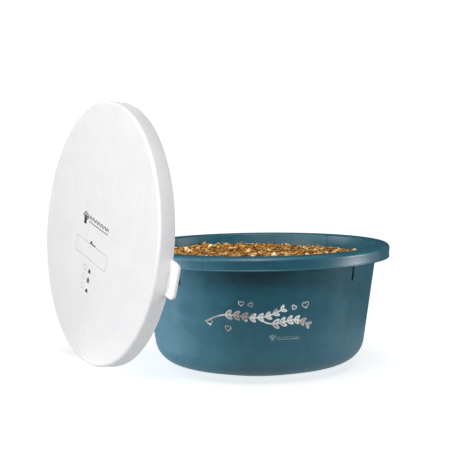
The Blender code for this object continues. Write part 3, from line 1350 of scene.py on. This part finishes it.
@dataclass
class Studio:
    """A white floor, a white room and soft lamps, with the camera low in front of the bowl."""

    camera_turn: float = math.radians(-33.2013)
    camera_away: float = 1.3583
    camera_height: float = 0.2902
    camera_down: float = 0.0838
    camera_aside: float = -0.0269
    camera_roll: float = -0.0149
    lens: float = 81.78
    floor_radius: float = 30.0
    floor_drift: float = 1 / 3        # size of the paint's faint patches
    room_light: float = 0.06
    room_seen: float = 1.1            # how bright the room itself looks
    floor_bounce: str = "8C8C8C"      # how brightly the floor lights the object
    floor_glow: float = 0.75          # keeps the far floor as white as the room
    table_glow: float = 0.48          # the lit table top under and round the object
    table_radius: float = 0.24
    table_fade: float = 0.06
    lamps: tuple[Lamp, ...] = (
        Lamp("ceiling", (-0.1, -0.2, 1.0), 0.92, spread=math.radians(50)),
        Lamp("bowl_front_softbox", (-0.85, -1.15, 1.5), 16.5, 0.5, lights_only=Body.BOWL, passes=Body.LID),
        Lamp("bowl_left_softbox", (-2.1, -0.25, 1.0), 12.0, 1.2, lights_only=Body.BOWL, passes=Body.LID),
        Lamp("bowl_left_strip", (-1.2, 0.9, 0.10), 28.0, 0.3, lights_only=Body.BOWL, passes=Body.LID),
        Lamp("bowl_right_softbox", (1.6, -1.2, 0.10), 30.0, 0.6, lights_only=Body.BOWL),
        Lamp("lid_left_softbox", (-2.1, -0.15, 1.2), 54.0, 1.4, lights_only=Body.LID),
        Lamp("lid_fill", (0.6, -2.1, 0.7), 10.5, 0.9, lights_only=Body.LID, passes=Body.BOWL),
        Lamp("lid_floor_fill", (-0.25, -0.75, 0.02), 3.0, 0.5, lights_only=Body.LID),
        Lamp("lid_back_fill", (1.4, 1.7, 1.0), 16.0, 1.2, lights_only=Body.LID),
    )

    def build_camera(self) -> None:
        """Set the camera on its stand."""
        turn, away = self.camera_turn, self.camera_away
        place = Vector((away * math.sin(turn), -away * math.cos(turn), self.camera_height))
        deselect_all()
        bpy.ops.object.camera_add()
        camera = bpy.context.active_object
        camera.matrix_world = (
            Matrix.Translation(place)
            @ Matrix.Rotation(turn - self.camera_aside, 4, "Z")
            @ Matrix.Rotation(math.pi / 2 - self.camera_down, 4, "X")
            @ Matrix.Rotation(self.camera_roll, 4, "Z")
        )
        camera.data.lens = self.lens
        camera.data.sensor_width = 36.0
        bpy.context.scene.camera = camera

    def build_floor(self) -> None:
        """Lay the pale matt floor."""
        deselect_all()
        bpy.ops.mesh.primitive_circle_add(vertices=96, radius=self.floor_radius, fill_type="NGON")
        floor = bpy.context.active_object
        floor.name = "studio_floor"
        material, tree, shader, place = new_material("painted_floor")
        seen = add_node(tree, "ShaderNodeLightPath").outputs["Is Camera Ray"]
        paint = add_node(tree, "ShaderNodeTexNoise", inputs={
            "Vector": place, "Scale": 1 / self.floor_drift,
        }).outputs["Fac"]
        seen_tone = add_node(tree, "ShaderNodeValToRGB", inputs={"Fac": paint}, stops=[
            (0.3, "FAFAFA"), (0.7, "FDFDFD"),
        ]).outputs["Color"]
        tone = add_node(tree, "ShaderNodeMix", {"data_type": "RGBA"}, {
            "Factor": seen, 6: linear(self.floor_bounce), 7: seen_tone,
        }).outputs[2]
        away = add_node(tree, "ShaderNodeVectorMath", {"operation": "LENGTH"}, {
            0: place,
        }).outputs["Value"]
        table = add_node(tree, "ShaderNodeMapRange", {"interpolation_type": "SMOOTHSTEP"}, {
            "Value": away, "To Min": self.table_glow, "To Max": 0.0,
            "From Min": self.table_radius, "From Max": self.table_radius + self.table_fade,
        }).outputs["Result"]
        glow = add_node(tree, "ShaderNodeMix", {"data_type": "FLOAT"}, {
            "Factor": seen, 2: table, 3: self.floor_glow,
        })
        tree.links.new(tone, shader.inputs["Base Color"])
        tree.links.new(glow.outputs[0], shader.inputs["Emission Strength"])
        shader.inputs["Emission Color"].default_value = linear("FFFFFF")
        shader.inputs["Roughness"].default_value = 0.9
        shader.inputs["Specular IOR Level"].default_value = 0.0
        floor.data.materials.append(material)

    def build_room(self) -> None:
        """Fill the room with even white light; its walls look fully white."""
        world = bpy.data.worlds.new("white_room")
        bpy.context.scene.world = world
        world.use_nodes = True
        tree = world.node_tree
        tree.nodes.clear()
        seen = add_node(tree, "ShaderNodeLightPath").outputs["Is Camera Ray"]
        strength = add_node(tree, "ShaderNodeMapRange", inputs={
            "Value": seen, "To Min": self.room_light, "To Max": self.room_seen,
        }).outputs["Result"]
        glow = add_node(tree, "ShaderNodeBackground", inputs={
            "Color": linear("FFFFFF"), "Strength": strength,
        })
        add_node(tree, "ShaderNodeOutputWorld", inputs={"Surface": glow.outputs["Background"]})
        bpy.context.scene.view_settings.view_transform = "Standard"

    def build(self) -> None:
        """Set up the studio."""
        self.build_camera()
        self.build_floor()
        self.build_room()
        for lamp in self.lamps:
            lamp.build()


# ----------------------------------------------------------------------------------------------
# The whole thing
# ----------------------------------------------------------------------------------------------


def grain_kinds() -> tuple[GrainKind, ...]:
    """The mix: whole oats and barley, rolled flakes, maize, bran and chaff."""
    oats = DryGrain("oat_husk", ("5C3C20", "875D34", "AB814E", "C9A06A"))
    barley = DryGrain("barley_grain", ("93673A", "B98A52", "D6AE76"))
    pale = DryGrain("rolled_flake", ("AC8252", "CFA773", "E6C794", "F6E0B8"), roughness=0.7)
    maize = DryGrain("maize_flake", ("D08A24", "E8AC3E", "F2C65C"), roughness=0.5)
    bran = DryGrain("bran", ("452C14", "6A4523", "8F6538"), roughness=0.75)
    chaff = DryGrain("chaff", ("80592E", "AC8450", "D4B07E"), roughness=0.7)
    return (
        GrainKind("feed_oats", 12.0, 3.3, 1.9, 1900, 12, oats, pointed=1.0, curl=0.2, crease=0.35),
        GrainKind("feed_barley", 8.5, 3.7, 2.3, 500, 12, barley, pointed=0.6, crease=0.45),
        GrainKind("feed_flakes", 9.5, 6.0, 0.9, 1250, 13, pale, curl=0.7),
        GrainKind("feed_maize", 7.5, 5.4, 1.2, 120, 15, maize, curl=0.5),
        GrainKind("feed_bran", 6.0, 3.8, 0.8, 1500, 18, bran, curl=0.3),
        GrainKind("feed_chaff", 12.0, 1.0, 0.6, 420, 32, chaff, pointed=1.0, curl=0.8),
    )


def main() -> None:
    """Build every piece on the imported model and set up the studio."""
    logging.basicConfig(level=logging.INFO, format="%(message)s")
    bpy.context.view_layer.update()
    bowl = Bowl()
    teal = MouldedPolypropylene(
        "teal_polypropylene", "1D5C6F", "216478", 0.42,
        # marks and rib_first place the lines of painted shade along the seams and ribs
        marks=bowl.band_marks, rib_first=bowl.rib_first,
        mark_floor=bowl.band_foot - bowl.rib_drop,
        mouth_inside=bowl.mouth_radius + 0.0002, band_inside=bowl.rim_radius - bowl.band_wall,
    ).material()
    white = MouldedPolypropylene(
        "white_polypropylene", "EAEAEC", "EEEEEF", 0.50, gloss=0.4, streak_gain=1.0,
    ).material()
    bowl.build(teal)
    lid = Lid()
    lid.build(white)
    # the foil's near-white base is a painted reflection of the bright studio
    foil = HotFoil("silver_foil", "FFFFFF", "B4A8A0").material()
    faint = PadInk("grey_ink", "8FA4AA", "A9B9BD").material()
    BowlPrint(bowl).build(foil, faint)
    dark = PadInk("charcoal_ink", "2B2A27", "454440").material()
    pale = PadInk("light_grey_ink", "A6A9A8", "BDBFBE").material()
    LidPrint(lid).build(dark, pale)
    # the bed's dark brown is grain colour deepened by painted shade, for the gaps between the loose grains
    shaded_bed_finish = DryGrain("grain_bed", ("4A3018", "8A6236"), mottle=0.006, roughness=0.8).material()
    FeedMix(bowl, grain_kinds()).build(shaded_bed_finish)
    Studio().build()


if __name__ == "__main__":
    main()
